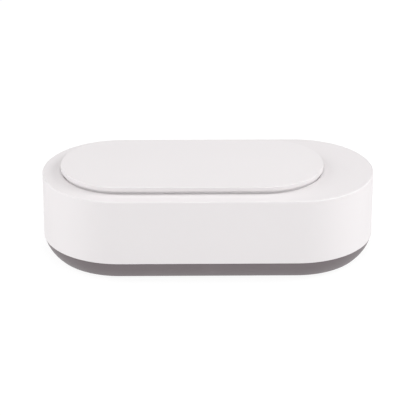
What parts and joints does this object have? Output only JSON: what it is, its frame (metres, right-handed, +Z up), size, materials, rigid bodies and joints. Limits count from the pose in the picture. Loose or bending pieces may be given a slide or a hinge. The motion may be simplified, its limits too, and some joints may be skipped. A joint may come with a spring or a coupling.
{
  "type": "ultrasonic cleaner",
  "caption": "Small obround ultrasonic cleaner: white casing on a tapered grey base, lift-off lid over a steel tank, rear push button and DC inlet.",
  "frame": {"origin": "on the surface the cleaner stands on, under the middle of the casing", "axes": "+X along the length towards the plain deck end, +Y towards the rear wall with the inlet and button, +Z up"},
  "size_m": [0.205, 0.0966, 0.0586],
  "materials": {
    "casing_white": "satin moulded ABS",
    "lid_white": "satin moulded ABS",
    "tray_grey": "fine textured ABS",
    "liner_plastic": "satin",
    "silicone": "matt translucent",
    "foot_rubber": "matt",
    "tank_steel": "satin drawn stainless",
    "screw_steel": "zinc plated",
    "spring_steel": "bright drawn wire",
    "frame_black": "glass-filled nylon",
    "piezo_ceramic": "silvered face, bare edge",
    "epoxy": "cured resin",
    "board": "solder mask",
    "ferrite": "sintered",
    "coil_tape": "polyester tape",
    "choke_coat": "enamel",
    "can_sleeve": "shrink sleeve",
    "film_case": "dipped",
    "chip_black": "moulded epoxy",
    "sink_aluminium": "extruded",
    "connector_nylon": "natural nylon",
    "button_white": "satin",
    "socket_black": "moulded",
    "contact_nickel": "nickel plated",
    "pipe_milky": "milky polycarbonate",
    "led_lens": "clear epoxy",
    "wire_red": "PVC",
    "wire_black": "PVC",
    "wire_white": "PVC",
    "wire_blue": "PVC"
  },
  "bodies": {
    "housing": {"upper_casing": "casing_white", "base_tray": "tray_grey", "case_seal": "silicone", "rubber_feet": "foot_rubber", "case_screws": "screw_steel", "tank": "tank_steel", "tank_gasket": "silicone", "tank_retaining_frame": "frame_black", "retaining_screws": "screw_steel", "transducer_bond": "epoxy", "transducer_disc": "piezo_ceramic", "driver_board": "board", "driver_board_screws": "screw_steel", "transformer_core": "ferrite", "transformer_winding": "coil_tape", "output_choke": "choke_coat", "electrolytic_capacitors": "can_sleeve", "film_capacitor": "film_case", "power_transistor": "chip_black", "heat_sink": "sink_aluminium", "controller_chip": "chip_black", "wire_connectors": "connector_nylon", "push_switch": "chip_black", "button_return_spring": "spring_steel", "button_board": "board", "button_board_screws": "screw_steel", "dc_socket": "socket_black", "dc_socket_pin": "contact_nickel", "dc_socket_nut": "contact_nickel", "light_pipe": "pipe_milky", "indicator_led": "led_lens", "indicator_board": "board", "indicator_screws": "screw_steel", "transducer_leads": "wire_white", "dc_leads": "wire_red", "button_leads": "wire_black", "indicator_leads": "wire_blue"},
    "lid": {"lid_plate": "lid_white", "lid_liner": "liner_plastic", "lid_seal": "silicone"},
    "button": {"power_button": "button_white", "switch_plunger": "chip_black"}
  },
  "joints": [
    {"name": "lid_lift", "type": "slide", "parent": "housing", "child": "lid", "axis": [0, 0, 1], "range_m": [0, 0.12]},
    {"name": "button_press", "type": "slide", "parent": "housing", "child": "button", "axis": [0, -1, 0], "range_m": [0, 0.001], "stiffness_N_per_m": 600, "springref_m": -0.002, "deforming": ["button_return_spring"]}
  ]
}
